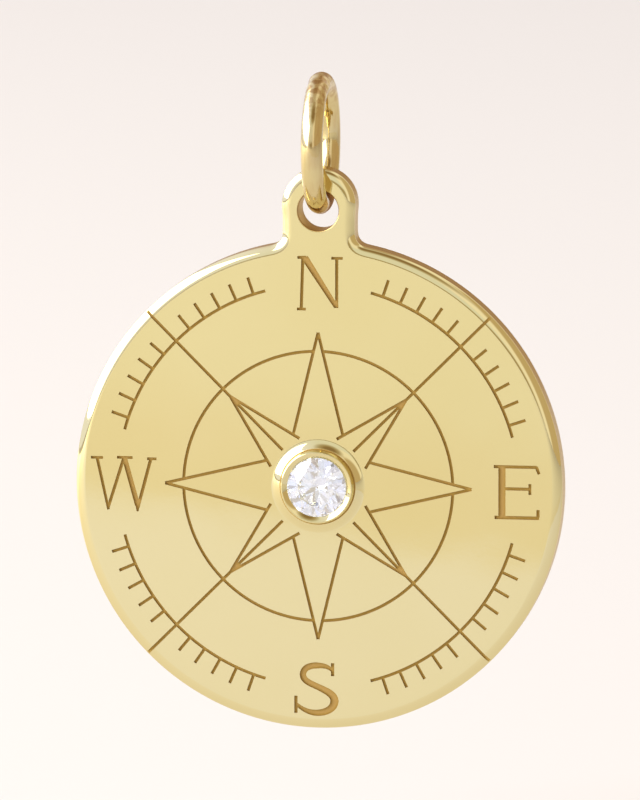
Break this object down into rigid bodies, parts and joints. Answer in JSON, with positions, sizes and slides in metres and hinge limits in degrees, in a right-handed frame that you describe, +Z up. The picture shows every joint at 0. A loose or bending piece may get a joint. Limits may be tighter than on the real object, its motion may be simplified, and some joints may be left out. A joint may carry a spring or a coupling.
{
  "type": "compass pendant",
  "caption": "Round gold pendant engraved with a compass rose, with a bezel-set brilliant at the centre, an eye tab and a jump ring that it swings from.",
  "frame": {"origin": "inside top of the jump ring, where a chain bears and the pendant hangs", "axes": "+Z up, the engraved face looks towards -Y, east on the face towards +X"},
  "size_m": [0.018, 0.0052, 0.0242],
  "materials": {
    "gold": "polished yellow gold, engraving darkened",
    "diamond": "clear, round brilliant cut",
    "ring_gold": "polished yellow gold"
  },
  "bodies": {
    "ring": {"jump_ring": "ring_gold"},
    "pendant": {"medallion": "gold", "stone": "diamond"}
  },
  "joints": [
    {"name": "swing", "type": "hinge", "parent": "ring", "child": "pendant", "pos_m": [0, 0, -0.004], "axis": [0, 1, 0], "range_deg": [-112, 112]}
  ]
}
